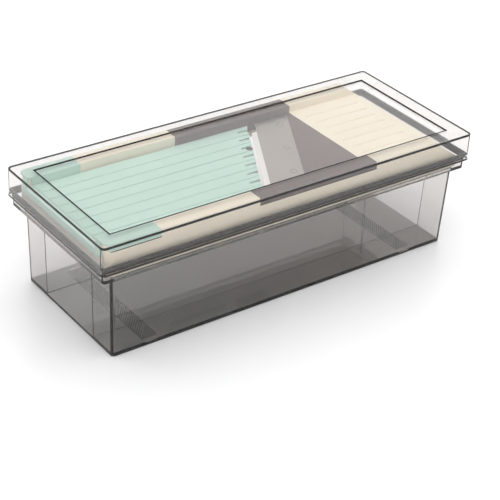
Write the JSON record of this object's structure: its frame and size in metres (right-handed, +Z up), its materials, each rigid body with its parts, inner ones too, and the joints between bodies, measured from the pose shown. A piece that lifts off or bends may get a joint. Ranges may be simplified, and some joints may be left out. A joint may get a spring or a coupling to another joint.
{
  "type": "mandoline slicer",
  "caption": "Mandoline slicer with a hinged runway, skewed blade and julienne comb, stored on the ledge of a smoky clear box under a clear lid.",
  "frame": {"origin": "centre of the closed box's footprint, on the surface that it stands on", "axes": "+X along the slicer from the runway to the landing, +Y to the rear rail, +Z up"},
  "size_m": [0.333, 0.1324, 0.0964],
  "materials": {
    "smoky_clear_plastic": "gloss, clear grey, moulded SAN",
    "mint_plastic": "satin, moulded ABS",
    "cream_plastic": "satin, moulded ABS",
    "taupe_plastic": "satin, moulded ABS",
    "blade_steel": "brushed, with a ground bevel",
    "pin_steel": "satin",
    "white_acetal": "satin, moulded acetal",
    "dark_screw": "satin black",
    "grey_silicone": "matt, hatched"
  },
  "bodies": {
    "box": {"storage_box": "smoky_clear_plastic", "anti_slip_strip_left": "grey_silicone", "anti_slip_strip_right": "grey_silicone"},
    "slicer": {"slicer_frame": "cream_plastic", "frame_cross_bars": "cream_plastic", "landing_plate": "cream_plastic", "runway_end_cap": "mint_plastic", "runway_pivot_pins": "pin_steel", "dial_screw": "pin_steel", "dial_washer": "pin_steel", "dial_nut": "pin_steel"},
    "carrier": {"blade_carrier": "taupe_plastic", "blade": "blade_steel", "blade_rivets": "pin_steel"},
    "lid": {"lid": "smoky_clear_plastic"},
    "runway": {"runway_plate": "mint_plastic", "runway_end_screw": "dark_screw", "cam_foot": "white_acetal"},
    "dial": {"thickness_dial": "taupe_plastic"},
    "comb": {"comb_holder": "cream_plastic", "comb_teeth": "blade_steel", "comb_guide_posts": "pin_steel"}
  },
  "joints": [
    {"name": "slicer_lift", "type": "slide", "parent": "box", "child": "slicer", "axis": [0, 0, 1], "range_m": [0, 0.06]},
    {"name": "carrier_lift", "type": "slide", "parent": "slicer", "child": "carrier", "axis": [0, 0, 1], "range_m": [0, 0.03]},
    {"name": "lid_lift", "type": "slide", "parent": "carrier", "child": "lid", "axis": [0, 0, 1], "range_m": [0, 0.08]},
    {"name": "dial_turn", "type": "hinge", "parent": "slicer", "child": "dial", "pos_m": [-0.062, 0, 0.073], "axis": [0, 0, 1], "range_deg": [0, 270]},
    {"name": "runway_tilt", "type": "hinge", "parent": "slicer", "child": "runway", "pos_m": [-0.146, 0, 0.0805], "axis": [0, 1, 0], "range_deg": [0, 1.5]},
    {"name": "comb_rise", "type": "slide", "parent": "slicer", "child": "comb", "axis": [0, 0, 1], "range_m": [0, 0.0056]}
  ],
  "couplings": [
    {"joint": "runway_tilt", "follows": "dial_turn", "ratio": 0.0055555}
  ]
}
